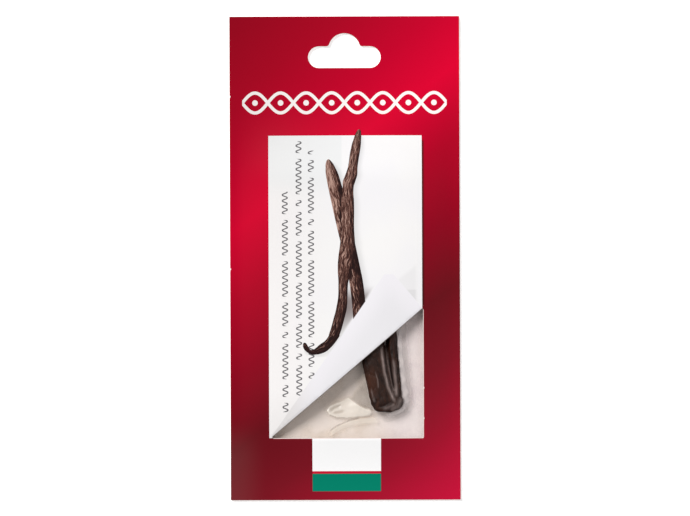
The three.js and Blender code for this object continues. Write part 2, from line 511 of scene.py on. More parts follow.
def evenly(line, count):
    """So many points at even steps along a line through these, and the line's length."""
    run = np.concatenate(([0.0], np.cumsum(np.linalg.norm(np.diff(line, axis=0), axis=1))))
    even = np.linspace(0.0, run[-1], count)
    return np.column_stack([np.interp(even, run, line[:, n]) for n in range(2)]), run[-1]


def curve_through(points, count):
    """Evenly spaced points on a smooth curve through the given ones, each stretch a cubic whose ends head
    along the line between its neighbours, the unit direction at each, and the curve's length."""
    points = np.array(points, float)
    ends = np.concatenate(([2 * points[0] - points[1]], points, [2 * points[-1] - points[-2]]))
    p0, p1, p2, p3 = (ends[n : len(ends) - 3 + n, None, :] for n in range(4))
    t = np.linspace(0.0, 1.0, 24, endpoint=False)[None, :, None]
    curve = 0.5 * (
        2 * p1 + (p2 - p0) * t + (2 * p0 - 5 * p1 + 4 * p2 - p3) * t**2 + (3 * p1 - p0 - 3 * p2 + p3) * t**3
    )
    path, length = evenly(np.concatenate((curve.reshape(-1, 2), points[-1:])), count)
    along = np.gradient(path, axis=0)
    return path, along / np.linalg.norm(along, axis=1)[:, None], length


def strand_sizes(strand, t, length):
    """Half width and half thickness at the share t of a strand: full at the fold, tapered to its tip, and
    rounded off at both ends on a quarter circle."""
    width = strand["half_width"]
    taper = 1 + (strand["tip"] - 1) * smooth((t - 0.45) / 0.55)
    start = np.sqrt(1 - (1 - np.minimum(1, (t * length + 1.0) / width)) ** 2)
    end = np.sqrt(1 - (1 - np.minimum(1, ((1 - t) * length + 0.8) / width)) ** 2)
    return width * taper * start * end, strand["half_thickness"] * np.sqrt(taper) * start * end


def between_rings(rings, sides):
    """The faces with four corners between neighbouring rings of points."""
    k, n = np.meshgrid(np.arange(rings - 1), np.arange(sides), indexing="ij")
    after = (n + 1) % sides
    here, ahead = k * sides, (k + 1) * sides
    return np.stack((here + n, here + after, ahead + after, ahead + n), axis=-1).reshape(-1, 4)


def strand_surface(strand, steps=120, sides=48):
    """Points and faces of a closed tube: level ellipses across the strand's curve, closed by a point at
    each end."""
    path, along, length = curve_through(strand["middle"], steps)
    wide, thick = strand_sizes(strand, np.linspace(0.0, 1.0, steps), length)
    angle = np.linspace(0.0, 2 * math.pi, sides, endpoint=False)
    across = wide[:, None] * np.cos(angle)
    level = POD_FLOOR + strand["half_thickness"]
    height = level + thick[:, None] * np.sin(angle)
    x = path[:, :1] - along[:, 1:] * across
    y = path[:, 1:] + along[:, :1] * across
    rings = np.stack((x, y, height), axis=-1).reshape(-1, 3)
    points = np.concatenate((rings, [[*path[0], level], [*path[-1], level]]))
    ring = np.arange(sides)
    first, last = steps * sides, steps * sides + 1
    start = np.column_stack((np.full(sides, first), np.roll(ring, -1), ring))
    base = (steps - 1) * sides
    end = np.column_stack((np.full(sides, last), base + ring, base + np.roll(ring, -1)))
    return points, between_rings(steps, sides).tolist() + start.tolist() + end.tolist()


def fold_surface(rings=24, sides=48):
    """Points and faces of a flattened ball, its poles across the pack."""
    turn = np.linspace(0.0, math.pi, rings)
    angle = np.linspace(0.0, 2 * math.pi, sides, endpoint=False)
    x = FOLD["middle"][0] + FOLD["half_width"] * np.cos(turn)[:, None] * np.ones(sides)
    y = FOLD["middle"][1] + FOLD["half_length"] * np.sin(turn)[:, None] * np.cos(angle)
    z = POD_FLOOR + FOLD["half_thickness"] * (1 + np.sin(turn)[:, None] * np.sin(angle))
    points = np.stack((x, y, z), axis=-1).reshape(-1, 3)
    return points, between_rings(rings, sides)[:, [0, 3, 2, 1]].tolist()


def nearest_on(strand, points):
    """For each point, how far along the strand it lies in millimetres, how far to its side as a share of
    the half width, and how high as a share of the half thickness."""
    steps = 160
    path, along, length = curve_through(strand["middle"], steps)
    wide, thick = strand_sizes(strand, np.linspace(0.0, 1.0, steps), length)
    gap = points[:, None, :2] - path[None, :, :]
    near = np.argmin((gap**2).sum(axis=2), axis=1)
    gap = points[:, :2] - path[near]
    side = (along[near, 0] * gap[:, 1] - along[near, 1] * gap[:, 0]) / wide[near].clip(THIN)
    height = (points[:, 2] - POD_FLOOR - strand["half_thickness"]) / thick[near].clip(THIN)
    return near / (steps - 1) * length, side, height


def wrinkles(run, side, height, seed):
    """Depth of the skin's long wrinkles, 0 to 1: valleys where the sine of some turns round the section
    comes near nothing, that drift as they run along, at several widths."""
    draw = np.random.default_rng(seed)
    angle = np.arctan2(height, side)
    depth = np.zeros(run.shape)
    for turns, share in ((4, 0.3), (7, 0.3), (11, 0.22), (17, 0.18)):
        slow, fast = draw.uniform(14, 26), draw.uniform(5, 9)
        drift = 1.5 * np.sin(run / slow * 2 * math.pi + draw.uniform(0, 6))
        drift += 0.5 * np.sin(run / fast * 2 * math.pi + draw.uniform(0, 6))
        valley = 1 - np.abs(np.sin(turns / 2 * angle + drift))
        turned = run / draw.uniform(8, 15) * 2 * math.pi + 2 * angle + draw.uniform(0, 6)
        depth += share * valley**2.5 * (0.55 + 0.45 * np.sin(turned))
    return depth


def pleats(x, y, seed, count, size):
    """Crumples from -1 to 1: the sum of sharp-edged pleats, each a triangle wave in a direction of its own
    that comes and goes along itself."""
    draw = np.random.default_rng(seed)
    total = np.zeros(x.shape)
    for _ in range(count):
        turn = draw.uniform(0, math.pi)
        reach = size * draw.uniform(0.6, 1.7)
        u = x * math.cos(turn) + y * math.sin(turn)
        v = y * math.cos(turn) - x * math.sin(turn)
        u = u + 1.2 * np.sin(v / reach + draw.uniform(0, 6))
        saw = np.abs(((u / reach + draw.uniform(0, 1)) % 1.0) * 2 - 1) * 2 - 1
        total += saw * (0.5 + 0.5 * np.sin(v / reach * 1.3 + draw.uniform(0, 6)))
    return total / math.sqrt(count)


def joined(parts):
    """Several lists of points and faces as one."""
    points, faces, count = [], [], 0
    for part_points, part_faces in parts:
        points.append(part_points)
        faces += [[index + count for index in face] for face in part_faces]
        count += len(part_points)
    return np.concatenate(points), faces


def from_path(points, path):
    """For each point, its level distance to a line through the path's corners, and how far along the line
    its nearest place is, from 0 to 1."""
    steps = 80
    line, _ = evenly(np.array(path, float), steps)
    gap = ((points[:, None, :2] - line) ** 2).sum(axis=2)
    near = gap.argmin(axis=1)
    return np.sqrt(gap[np.arange(len(points)), near]), near / (steps - 1)


def vectors(items, name):
    """That vector of every item, one in a row."""
    values = np.empty(len(items) * 3, np.float32)
    items.foreach_get(name, values)
    return values.reshape(-1, 3)


def store(mesh, name, values):
    """Keeps a number or a vector at each of the mesh's points, for its material to read."""
    kind, part = ("FLOAT", "value") if values.ndim == 1 else ("FLOAT_VECTOR", "vector")
    kept = mesh.attributes.new(name, kind, "POINT")
    kept.data.foreach_set(part, values.astype(np.float32).ravel())


def pod_skin():
    """Dark oily skin: streaks along the strands over a mottle, darker in the wrinkles as painted shade, a
    redder patch low on the wide strand, and a painted highlight on the ridges."""
    made, shader, point = new_material("pod_skin", Specular_IOR_Level=0.25)
    x, y = point.axis(0), point.axis(1)
    mottle = point.noise(0.35, 3.0, 0.6)
    streaks = point.stored("strand", 1).noise(1.5, 5.0, 0.7)
    # The wrinkles are darkened as painted shade.
    tone = mottle * 0.35 + streaks * 0.8 - 0.16 - point.stored("wrinkle") * 0.35
    skin = tone.ramp((0.1, (12, 5, 2)), (0.4, (40, 19, 10)), (0.62, (70, 38, 22)), (0.85, (110, 76, 58)))
    off_x, off_y = (x - 10.2) / 3.0, (y + 48.5) / 6.3
    patch = (off_x * off_x + off_y * off_y + streaks * 2.0).ease(2.4, 0.6)
    skin = mix(patch * 0.65, skin, tint(72, 36, 19))
    # Pale: the painted highlight along the ridges, and the skin's own pale streaks.
    pale = (point.stored("ridge_highlight") * streaks.ease(0.2, 0.55)).high(streaks.ease(0.68, 0.78) * 0.35)
    paint(shader, "Base Color", mix(pale, skin, tint(146, 128, 123)))
    paint(shader, "Roughness", mottle.ease(0.3, 0.8) * 0.15 + 0.42)
    paint(shader, "Normal", bump(streaks + point.noise(3.5, 5.0, 0.65) * 0.3, 0.22))
    return made


# The strands' ridges and the slot between them: each a path, then how far it stands up, its half width, and
# how pale the skin's painted highlight is along it.
RIDGES = (
    (
        (
            (14.2, -32), (14.1, -34.5), (14.9, -40.7), (15.7, -45.8), (17.0, -50.8), (18.3, -54.0),
            (19.6, -56.7),
        ),
        (0.45, 0.62, 0.95),
    ),
    (
        ((15.9, -33), (16.1, -36.0), (16.8, -40.7), (17.6, -45.8), (18.4, -49.7), (19.4, -52.8)),
        (0.4, 0.35, 0.5),
    ),
    (((18.6, -38.0), (18.9, -41.8), (19.4, -47.0), (19.8, -51.0), (19.9, -54.5)), (0.35, 0.65, 0.8)),
    (((15.2, -32), (15.9, -40.7), (16.7, -46.0), (17.7, -51.0)), (-0.5, 0.4, 0.0)),
    (
        ((16.2, -30), (16.6, -37.1), (17.3, -40.7), (18.0, -44.6), (18.7, -48.5), (19.4, -51.8)),
        (-1.9, 0.5, 0.0),
    ),
    (((11.6, -44.0), (12.6, -47.5), (12.9, -51.0)), (0.2, 0.22, 0.5)),
    (((9.9, -50.8), (10.6, -53.6), (11.4, -56.4)), (0.25, 0.4, 0.4)),
    (((14.2, -59.4), (16.6, -58.5), (19.4, -57.0)), (0.2, 0.6, 0.5)),
    (((12.2, -58.4), (15.2, -57.6), (18.0, -55.9)), (-0.4, 0.5, 0.0)),
    (((20.6, -53.4), (21.8, -55.4), (20.6, -58.0), (17.4, -59.4)), (0.1, 1.2, 0.5)),
)

# The two strands and the fold melt into one skin.
points, faces = joined((strand_surface(WIDE), strand_surface(NARROW), fold_surface()))
vanilla_pod = new_piece("vanilla_skin", points, faces, ())
melt = vanilla_pod.modifiers.new("melt", "REMESH")
melt.mode = "VOXEL"
melt.voxel_size = MELT_CELL * MM
ease = vanilla_pod.modifiers.new("ease", "SMOOTH")
ease.factor = 0.5
ease.iterations = 6
melted = bpy.data.meshes.new_from_object(vanilla_pod.evaluated_get(bpy.context.evaluated_depsgraph_get()))
vanilla_pod.modifiers.clear()
vanilla_pod.data = melted

# Each point goes in along its normal by the wrinkles and out by the knob's pleats, then up by the ridges.
pod_points = vectors(melted.vertices, "co") / MM
normals = vectors(melted.vertex_normals, "vector")
wide_run, wide_side, wide_height = nearest_on(WIDE, pod_points)
narrow_run, narrow_side, narrow_height = nearest_on(NARROW, pod_points)
on_wide = smooth(0.5 + (np.hypot(narrow_side, narrow_height) - np.hypot(wide_side, wide_height)) * 1.5)
wide_depth = wrinkles(wide_run, wide_side, wide_height, seed=5)
narrow_depth = wrinkles(narrow_run, narrow_side, narrow_height, seed=8)
depth = wide_depth * on_wide + narrow_depth * (1 - on_wide)
upper = smooth((normals[:, 2] + 0.1) / 0.5)
lift, near_slot, ridge_highlight = np.zeros((3, len(pod_points)))
# Each ridge stands up along its path; its painted highlight fades out towards the path's upper end, standing
# in for the front leaf's shadow there.
for path, (rise, reach, pale) in RIDGES:
    away, share = from_path(pod_points, path)
    ends = smooth((1 - share) / 0.12 + 0.15) * smooth(share / 0.15 + 0.05)
    raised = bell(away, reach) * ends * upper
    lift += rise * raised
    near_slot = np.maximum(near_slot, raised)
    ridge_highlight = np.maximum(ridge_highlight, pale * raised * smooth(share / 0.3))
pod_x, pod_y = pod_points[:, 0], pod_points[:, 1]
knob = pleats(pod_x, pod_y, seed=31, count=5, size=4.2) * smooth((-52.5 - pod_y) / 3.0)
uneven = pleats(pod_y, pod_x * 0.4, seed=7, count=4, size=4.0)
inward = WRINKLE_DEPTH * depth * (1 - near_slot) - KNOB_DEPTH * knob - UNEVEN_DEPTH * uneven
pod_points -= normals * inward[:, None]
pod_points[:, 2] += lift
melted.vertices.foreach_set("co", (pod_points * MM).astype(np.float32).ravel())
store(melted, "wrinkle", depth)
store(melted, "ridge_highlight", ridge_highlight)
wide_place = np.column_stack(
    (wide_side * WIDE["half_width"], wide_run * GRAIN, wide_height * WIDE["half_thickness"])
)
narrow_place = np.column_stack(
    (narrow_side * NARROW["half_width"] + 20.0, narrow_run * GRAIN, narrow_height * NARROW["half_thickness"])
)
store(melted, "strand", np.where((on_wide > 0.5)[:, None], wide_place, narrow_place))
melted.materials.append(pod_skin())
melted.polygons.foreach_set("use_smooth", np.ones(len(melted.polygons), bool))
melted.update()
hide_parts("vanilla_pod")
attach(vanilla_pod, "root")

# The film bag.
# Clear packing film, sealed flat round the pod. The top sheet clings to the pod and falls to the floor of the
# pack round it, creased, with a loop pinched up by the knob over a second fold. The bottom sheet lies flat.
SWELL = card_high.z / MM - 2 * BOARD - SEAM
BAG_X, BAG_Y = (-34.0, 34.0), (-74.0, 52.0)
FILM_CELL = 0.35
FILM_FLOOR = 0.62
FILM_LEAST = FILM_FLOOR + 0.03
OVER_POD, UNDER_LEAF = 0.12, 0.1
LOOSE_LEVEL, LOOSE_SLOPE, LOOSE_PASSES = 1.15, 1.3, 12
LEDGE_LEVEL, LEDGE_SLOPE, LEDGE_PASSES = 3.5, 0.25, 11
EASINGS = 3
SOFT_EDGE = 0.4
FAR = 9.0


def swell(x, y):
    """How far the front leaf stands off its flat margins: an arch across the pack, one less the cube of the
    share of the way to the side, to the power one and a half, that runs out smoothly towards both ends."""
    across = np.maximum(0.0, 1.0 - (np.abs(x) / SWELL_SIDE) ** 3) ** 1.5
    below = smooth((y - SWELL_BOTTOM[0]) / (SWELL_BOTTOM[1] - SWELL_BOTTOM[0]))
    above = smooth((SWELL_TOP[0] - y) / (SWELL_TOP[0] - SWELL_TOP[1]))
    return SWELL * across * below * above


def under_front(x, y):
    """The height of the front leaf's underside."""
    return BOARD + SEAM + swell(x, y)


def neighbours(field, diagonal=False):
    """The field moved by one cell in each of the four directions, or to the four corners."""
    moves = ((1, 1), (1, -1), (-1, 1), (-1, -1)) if diagonal else ((1, 0), (-1, 0), (0, 1), (0, -1))
    padded = np.pad(field, 1, mode="edge")
    rows, columns = field.shape
    return [padded[1 + m : 1 + m + rows, 1 + n : 1 + n + columns] for m, n in moves]


def draped(tops, floor, slope, passes):
    """A sheet over these tops: each point is as high as its highest neighbour less the slope times the way
    to it, if that is higher, pass after pass; then it is evened out, but stays on the tops."""
    sheet = np.maximum(tops, floor)
    for _ in range(passes):
        straight = np.max(neighbours(sheet), axis=0) - slope * FILM_CELL
        slanting = np.max(neighbours(sheet, True), axis=0) - slope * FILM_CELL * math.sqrt(2)
        sheet = np.maximum(sheet, np.maximum(straight, slanting))
    for _ in range(EASINGS):
        sheet = np.maximum((sheet + np.mean(neighbours(sheet), axis=0)) / 2, tops)
    return sheet


def film():
    """Clear film with a faint haze. It is warmer towards the left, painted so that the leaf's shade there
    looks brown. It is whiter at creases, partly its own milkiness and partly painted highlight, and where it
    lies double, which is partly the doubled film and partly painted light: highlights on the loop and the
    second fold, and a lighter band beside the pod over its shadow. It is darker with painted shade in its
    pinched creases and in a wedge left of the pod, and all but clear where it clings to the pod."""
    made, shader, point = new_material("film", Roughness=0.32, Specular_IOR_Level=0.8, Coat_Weight=0.5)
    x = point.axis(0)
    crease, cling, double_and_light, painted_shade = (point.stored(name) for name in ("crease", "cling", "double_and_light", "painted_shade"))
    haze = point.noise(0.12, 3.0).ease(0.4, 0.75)
    # Warmer towards the left, painted so that the leaf's shade there looks brown.
    colour = mix(x.ease(6.0, 24.0), tint(240, 221, 200), tint(240, 226, 230))
    colour = mix(double_and_light, colour, mix(x.ease(11.0, 15.0), tint(254, 245, 232), tint(250, 238, 234)))
    colour = mix(painted_shade, colour, tint(128, 114, 98))
    paint(shader, "Base Color", mix(cling, colour, tint(14, 9, 9)))
    clear = 0.1 - cling * 0.08 + crease * 0.25 + haze * (1 - cling) * 0.12
    paint(shader, "Alpha", clear + double_and_light * 0.42 + painted_shade * 0.3)
    paint(shader, "Normal", bump(point.noise(0.5, 3.0, 0.5), 0.2))
    return made


columns = np.arange(BAG_X[0], BAG_X[1] + FILM_CELL / 2, FILM_CELL)
rows = np.arange(BAG_Y[0], BAG_Y[1] + FILM_CELL / 2, FILM_CELL)
x, y = np.meshgrid(columns, rows)
tops = np.zeros(x.shape)
column = np.rint((pod_points[:, 0] - BAG_X[0]) / FILM_CELL).astype(int)
row = np.rint((pod_points[:, 1] - BAG_Y[0]) / FILM_CELL).astype(int)
np.maximum.at(tops, (row, column), pod_points[:, 2] + OVER_POD)

# The loose film's crumples, with upright pleats right of the pod.
crumple = pleats(x, y, seed=11, count=7, size=17.0) * 0.55 + pleats(x, y, seed=23, count=6, size=6.5) * 0.17
beside = smooth((x - 20.5) / 3.0) * smooth((y + 66) / 8.0)
upright = np.abs(((x + 0.06 * y + 0.5 * np.sin(y / 7.0)) / 3.3) % 2.0 - 1.0) - 0.5
crumple += upright * 0.55 * beside

# The loop's upper and lower edge, the fingers pressed into it, and the second fold's upper edge.
LOOP_TOP = (
    (-7.4, -59.66), (-6.85, -58.49), (-6.15, -57.78), (-4.19, -56.96), (-1.96, -56.25), (-0.39, -55.5),
    (1.14, -54.3), (2.78, -55.82), (5.6, -57.78), (7.83, -58.92), (9.52, -59.19), (10.14, -60.05),
)
LOOP_FOOT = (
    (-7.4, -59.85), (-6.42, -61.15), (-3.64, -62.25), (0.55, -62.56),
    (6.15, -61.97), (9.52, -61.7), (10.14, -60.44),
)
FINGERS = (((-6.1, -59.66), (-4.5, -58.5), (-1.4, -57.45)), ((-4.7, -60.5), (-2.74, -60.25), (-0.4, -59.9)))
SECOND_TOP = (
    (-6.58, -67.85), (-3.64, -65.89), (-0.82, -64.52), (1.96, -63.38), (5.6, -62.56), (11.0, -62.3),
)
under_top = np.interp(x, *zip(*LOOP_TOP)) - y
over_foot = y - np.interp(x, *zip(*LOOP_FOOT))
in_loop = (x > LOOP_TOP[0][0]) * (x < LOOP_TOP[-1][0])
loop = smooth(under_top / SOFT_EDGE + 0.5) * smooth(over_foot / SOFT_EDGE + 0.5) * in_loop
level_points = np.column_stack((x.ravel(), y.ravel()))
fingers = np.zeros(x.shape)
for finger in FINGERS:
    away, share = from_path(level_points, finger)
    pressed = bell(away, 0.5) * smooth(share / 0.2 + 0.3) * smooth((1 - share) / 0.3 + 0.2)
    fingers = np.maximum(fingers, pressed.reshape(x.shape))
below = np.interp(x, *zip(*SECOND_TOP)) - y
reach = smooth((x + 6.6) / 1.5) * smooth((12.4 + 0.6 * (-62.0 - y) - x) / 1.5)
fold = smooth(below / SOFT_EDGE) * smooth((3.6 - below) / 2.0) * reach
# Painted shade along the second fold's upper edge and in the fingers pressed into the loop.
painted_shade = bell(below + 0.1, 0.3) * smooth((x + 6.8) / 1.5) * smooth((6.2 - x) / 1.5)
painted_shade = np.maximum(painted_shade, fingers * loop * 0.45)
# A wedge of painted shade on the film left of the pod, above the loop.
wedge = smooth((x - 0.6 - 0.85 * (y + 54.0)) / 4.0) * smooth(-under_top / SOFT_EDGE + 0.2)
wedge = wedge * smooth((-46.5 - y) / 2.0) * (x < 12.0)
painted_shade = np.maximum(painted_shade, wedge * 0.9)
# Where the film lies double on the loop and the second fold it is whiter, which also serves as their painted
# highlight.
double_and_light = np.maximum(loop * (1 - 0.4 * fingers), fold * 0.75)
crumple += loop * (0.8 - 0.12 * over_foot - 0.3 * fingers) + fold * 0.2

# Right of the pod the film stands out as a ledge, and the drape starts from its edge.
ledge_height = LEDGE_LEVEL + 0.8 * smooth((y + 54) / 6.0)
skirt = draped(np.where(tops > 0, ledge_height, 0.0), 0.0, LEDGE_SLOPE, LEDGE_PASSES)
from_pod = np.where(skirt > 0.5, (ledge_height - skirt) / LEDGE_SLOPE, FAR)
knob_side = smooth((-52.0 - y) / 4.0)
ledge = smooth(from_pod / SOFT_EDGE) * smooth((x - 14.0) / 4.0)
# The veil: the ledge's film made whiter and more opaque, painted light that lightens the pod's shadow beside
# it; it fades out upwards, where the leaf's shadow falls.
veil = ledge * smooth((2.7 - from_pod + knob_side) / (1.3 + 1.7 * knob_side))
veil = veil * (1 - 0.35 * knob_side) * smooth((-27.0 - y) / 10.0)
double_and_light = np.maximum(double_and_light, veil * (0.9 + 0.2 * np.sin(y * 0.9)))
lifted = ledge_height - 0.2 * from_pod - 0.35 * np.maximum(0.0, from_pod - 1.0) ** 2
held = np.maximum(tops, np.where(ledge > 0.3, lifted, 0.0))
sheet = draped(held, LOOSE_LEVEL + crumple, LOOSE_SLOPE, LOOSE_PASSES)
cling = (tops > 0).astype(float)
for _ in range(EASINGS):
    cling = (cling + np.mean(neighbours(cling), axis=0)) / 2
cling = smooth((cling - 0.35) / 0.5)

# The sheet stays over the pod and the floor and under the front leaf. Its mesh is its grid, the sealed rim
# round it, and one flat face below.
top = np.clip(sheet, FILM_LEAST, np.maximum(under_front(x, y) - UNDER_LEAF, tops))
bend = np.abs(np.mean(neighbours(top), axis=0) - top)
rim = np.ones(x.shape, bool)
rim[1:-1, 1:-1] = False
top[rim] = FILM_LEAST
upper_points = np.stack((x, y, top), -1).reshape(-1, 3)
j, i = np.meshgrid(np.arange(len(rows) - 1), np.arange(len(columns) - 1), indexing="ij")
corner = (j * len(columns) + i).ravel()
across = len(columns)
upper = np.column_stack((corner, corner + 1, corner + 1 + across, corner + across))
index = np.arange(x.size).reshape(x.shape)
ring = np.concatenate((index[0, :-1], index[:-1, -1], index[-1, :0:-1], index[:0:-1, 0]))
foot = x.size + np.arange(len(ring))
side = np.column_stack((foot, np.roll(foot, -1), np.roll(ring, -1), ring))
lower_points = np.column_stack((upper_points[ring, :2], np.full(len(ring), FILM_FLOOR)))
every = upper.tolist() + side.tolist() + [foot[::-1].tolist()]
film_bag = new_piece("film", np.concatenate((upper_points, lower_points)), every, (film(),), sharp=180)
# Creases are whiter, partly the creased film's milkiness and partly painted highlight.
creased = (bend / 0.06).clip(0, 1) * (1 - cling) * smooth((from_pod - 2.0) / 2.0)
loose = 1 - cling
fields = {"crease": creased, "cling": cling, "double_and_light": double_and_light * loose, "painted_shade": painted_shade * loose}
for name, field in fields.items():
    store(film_bag.data, name, np.concatenate((field.ravel(), np.zeros(len(ring)))))
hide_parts("film_bag")
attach(film_bag, "root")

# The front leaf.
# Coated board with a window cut in its lower right, swollen over the bag and glued at its margins. It is
# printed before it is cut, so the die leaves a pale crushed line round the window.
WINDOW = ((-29.1, -70.25), (30.4, -70.25), (30.4, -19.55))
PANEL_X, PANEL_Y = (-29.8, 30.1), (-70.25, 47.9)
LABEL_X, LABEL_Y = (-13.0, 13.8), (-91.2, -70.25)
LABEL_RULE = (-84.3, -83.3)
WAVE_ROWS = ((-23.4, 26.0, -60.0, 0.0), (-18.0, 46.0, -54.0, 8.4), (-13.2, 42.0, -47.0, 15.8))
WAVE_LENGTH, WAVE_REACH, WAVE_STROKE = 2.3, 0.9, 0.25
GAPS_EVERY, HALF_GAP = (8.05, 13.8), 1.15
TWIST_LEVEL, TWIST_LENGTH, TWIST_REACH, TWIST_STROKE, TWIST_END = 60.8, 20.0, 3.9, 0.62, 40.0
BEAD_RADIUS = 1.1
NICKS = ((-CARD_X, 63.3), (-CARD_X, -4.2), (WINDOW[1][0], -50.7), (WINDOW[1][0], -62.6))
NICK_SQUARE = 0.22
BEHIND_MIDDLE = ((-23.4, 5.7), (-10.5, 4.5), (-2.7, 3.0), (11.0, 0.0), (26.7, -3.5), (38.2, -6.3))
BEHIND_HALF = ((-23.4, 2.6), (-2.7, 2.7), (22.8, 2.85), (30.6, 2.6), (35.3, 1.9), (37.6, 1.05), (38.6, 0.1))
FRONT_MIDDLE = (
    (-30.1, -4.4), (-24.2, -2.6), (-16.4, -1.0), (-9.7, -0.7), (-4.6, -0.1), (0.8, 0.5), (5.1, 1.0),
    (13.0, 1.1), (27.5, 1.3), (33.0, 2.7), (41.6, 4.1), (50.2, 5.7),
)
FRONT_HALF = (
    (-30.1, 2.1), (-20.3, 2.08), (-12.5, 1.8), (-4.6, 2.74), (0.8, 3.05), (13.0, 2.47), (20.8, 2.55),
    (27.5, 2.15), (30.2, 2.43), (36.5, 1.84), (41.6, 1.88), (46.3, 1.5), (49.0, 1.0), (50.3, 0.1),
)
FOOT_MIDDLE = (
    (-16.4, -34.0), (-15.3, -34.7), (-14.5, -35.6), (-13.7, -36.4), (-12.5, -36.6), (-11.4, -36.2),
    (-9.8, -35.4), (-7.8, -34.3), (-5.9, -32.2), (-3.9, -29.5), (-2.0, -26.2),
)
FOOT_HALF = (
    (-16.4, 0.5), (-16.1, 1.2), (-15.3, 1.57), (-14.5, 1.25), (-13.7, 0.86), (-12.5, 1.02), (-11.4, 1.33),
    (-9.8, 1.88), (-7.8, 2.23), (-5.9, 2.86), (-3.9, 3.33), (-2.0, 3.72),
)
FOOT_LEVEL = -30.1
LEFT_END, BEHIND_END, FRONT_END = -16.5, 38.6, 50.3


def window_outline(grow=0.0):
    """The window's edge: a square corner at the lower right and a long slanting side."""
    return rounded(WINDOW, 0.35, grow)


def over_front(x, y):
    """The height of its printed face."""
    return under_front(x, y) + BOARD


def slanting_side(x, y):
    """1 along the window's slanting side, else 0."""
    (left, low), _, (right, high) = WINDOW
    slope = (high - low) / (right - left)
    return within(y - low - (x - left) * slope, -0.9, 0.9) * within(x, left, right)


def dimmed(colour, share):
    """The colour with that share of its light taken away."""
    return share.node("ShaderNodeVectorMath", {"operation": "SCALE"}, {0: colour, "Scale": 1 - share})


def white_panel(colour, x, y, point, panel):
    """The panel over the red: faintly cloudy paper, greyer at its upper left, with its own shadow printed
    on the red down its right side."""
    right = x.ease(PANEL_X[1] + 1.2, PANEL_X[1] + 0.3) * x.over(PANEL_X[1] - 1.0)
    beside = right * y.ease(46.8, 45.2) * y.ease(-20.0, -17.5)
    colour = mix(beside * 0.8, colour, tint(52, 22, 20))
    paper = mix(point.noise(0.035, 2.0).ease(0.35, 0.75), tint(252, 250, 249), tint(249, 247, 249))
    # A touch darker and pinker towards the left: painted shade that offsets the light on the swell's left
    # slope.
    paper = mix(x.ease(-4.0, -28.0), paper, tint(250, 246, 245))
    paper = mix(x.ease(-0.7, -1.7) * y.ease(22.0, 33.0) * 0.6, paper, tint(238, 240, 240))
    return mix(panel, colour, paper)


def sine_line(place, length, reach, stroke):
    """A sine wave along a place, and half its line's width measured straight across: the stroke times the
    square root of one plus the lean squared, so the line looks as wide everywhere."""
    turn = place * (2 * math.pi / length)
    lean = turn.maths("COSINE") * (reach * 2 * math.pi / length)
    return turn.maths("SINE") * reach, (lean * lean + 1.0).maths("SQRT") * stroke


def waves(colour, x, y):
    """Rows of a fine upright wave beside the pods, with gaps at two spacings."""
    for middle, top, bottom, start in WAVE_ROWS:
        place = y + start
        wave, half = sine_line(place, WAVE_LENGTH, WAVE_REACH, WAVE_STROKE)
        line = (half - abs(x - middle - wave)).over(0.0) * within(y, bottom, top)
        for every in GAPS_EVERY:
            line = line * place.maths("PINGPONG", every).over(HALF_GAP)
        colour = mix(line, colour, tint(112, 110, 112))
    return colour


def printed_skin(across, length, gloom):
    """A printed pod's colours: fine streaks along it, light on its left half and dark at its right edge,
    the whole darker with the gloom."""
    wide = across.node("ShaderNodeCombineXYZ", (), {0: across * 0.8, 1: length * 0.3})
    sway = (wide.noise(0.9, 2.0) - 0.5) * 2.6
    stretched = across.node("ShaderNodeCombineXYZ", (), {0: across * 3.0 + sway, 1: length * 0.13})
    streaks = stretched.noise(1.7, 5.0, 0.7)
    side = across + 0.3
    glint = (1 - abs(across + 0.45) * 1.8).high(0.0) * streaks.ease(0.52, 0.66)
    tone = (streaks - 0.5) * 4.0 + 0.53 - side * side * 0.36 - gloom + glint * 0.7
    light = (0.95, (188, 152, 138))
    return tone.ramp((0.0, (40, 26, 25)), (0.3, (74, 47, 42)), (0.62, (116, 80, 70)), light)


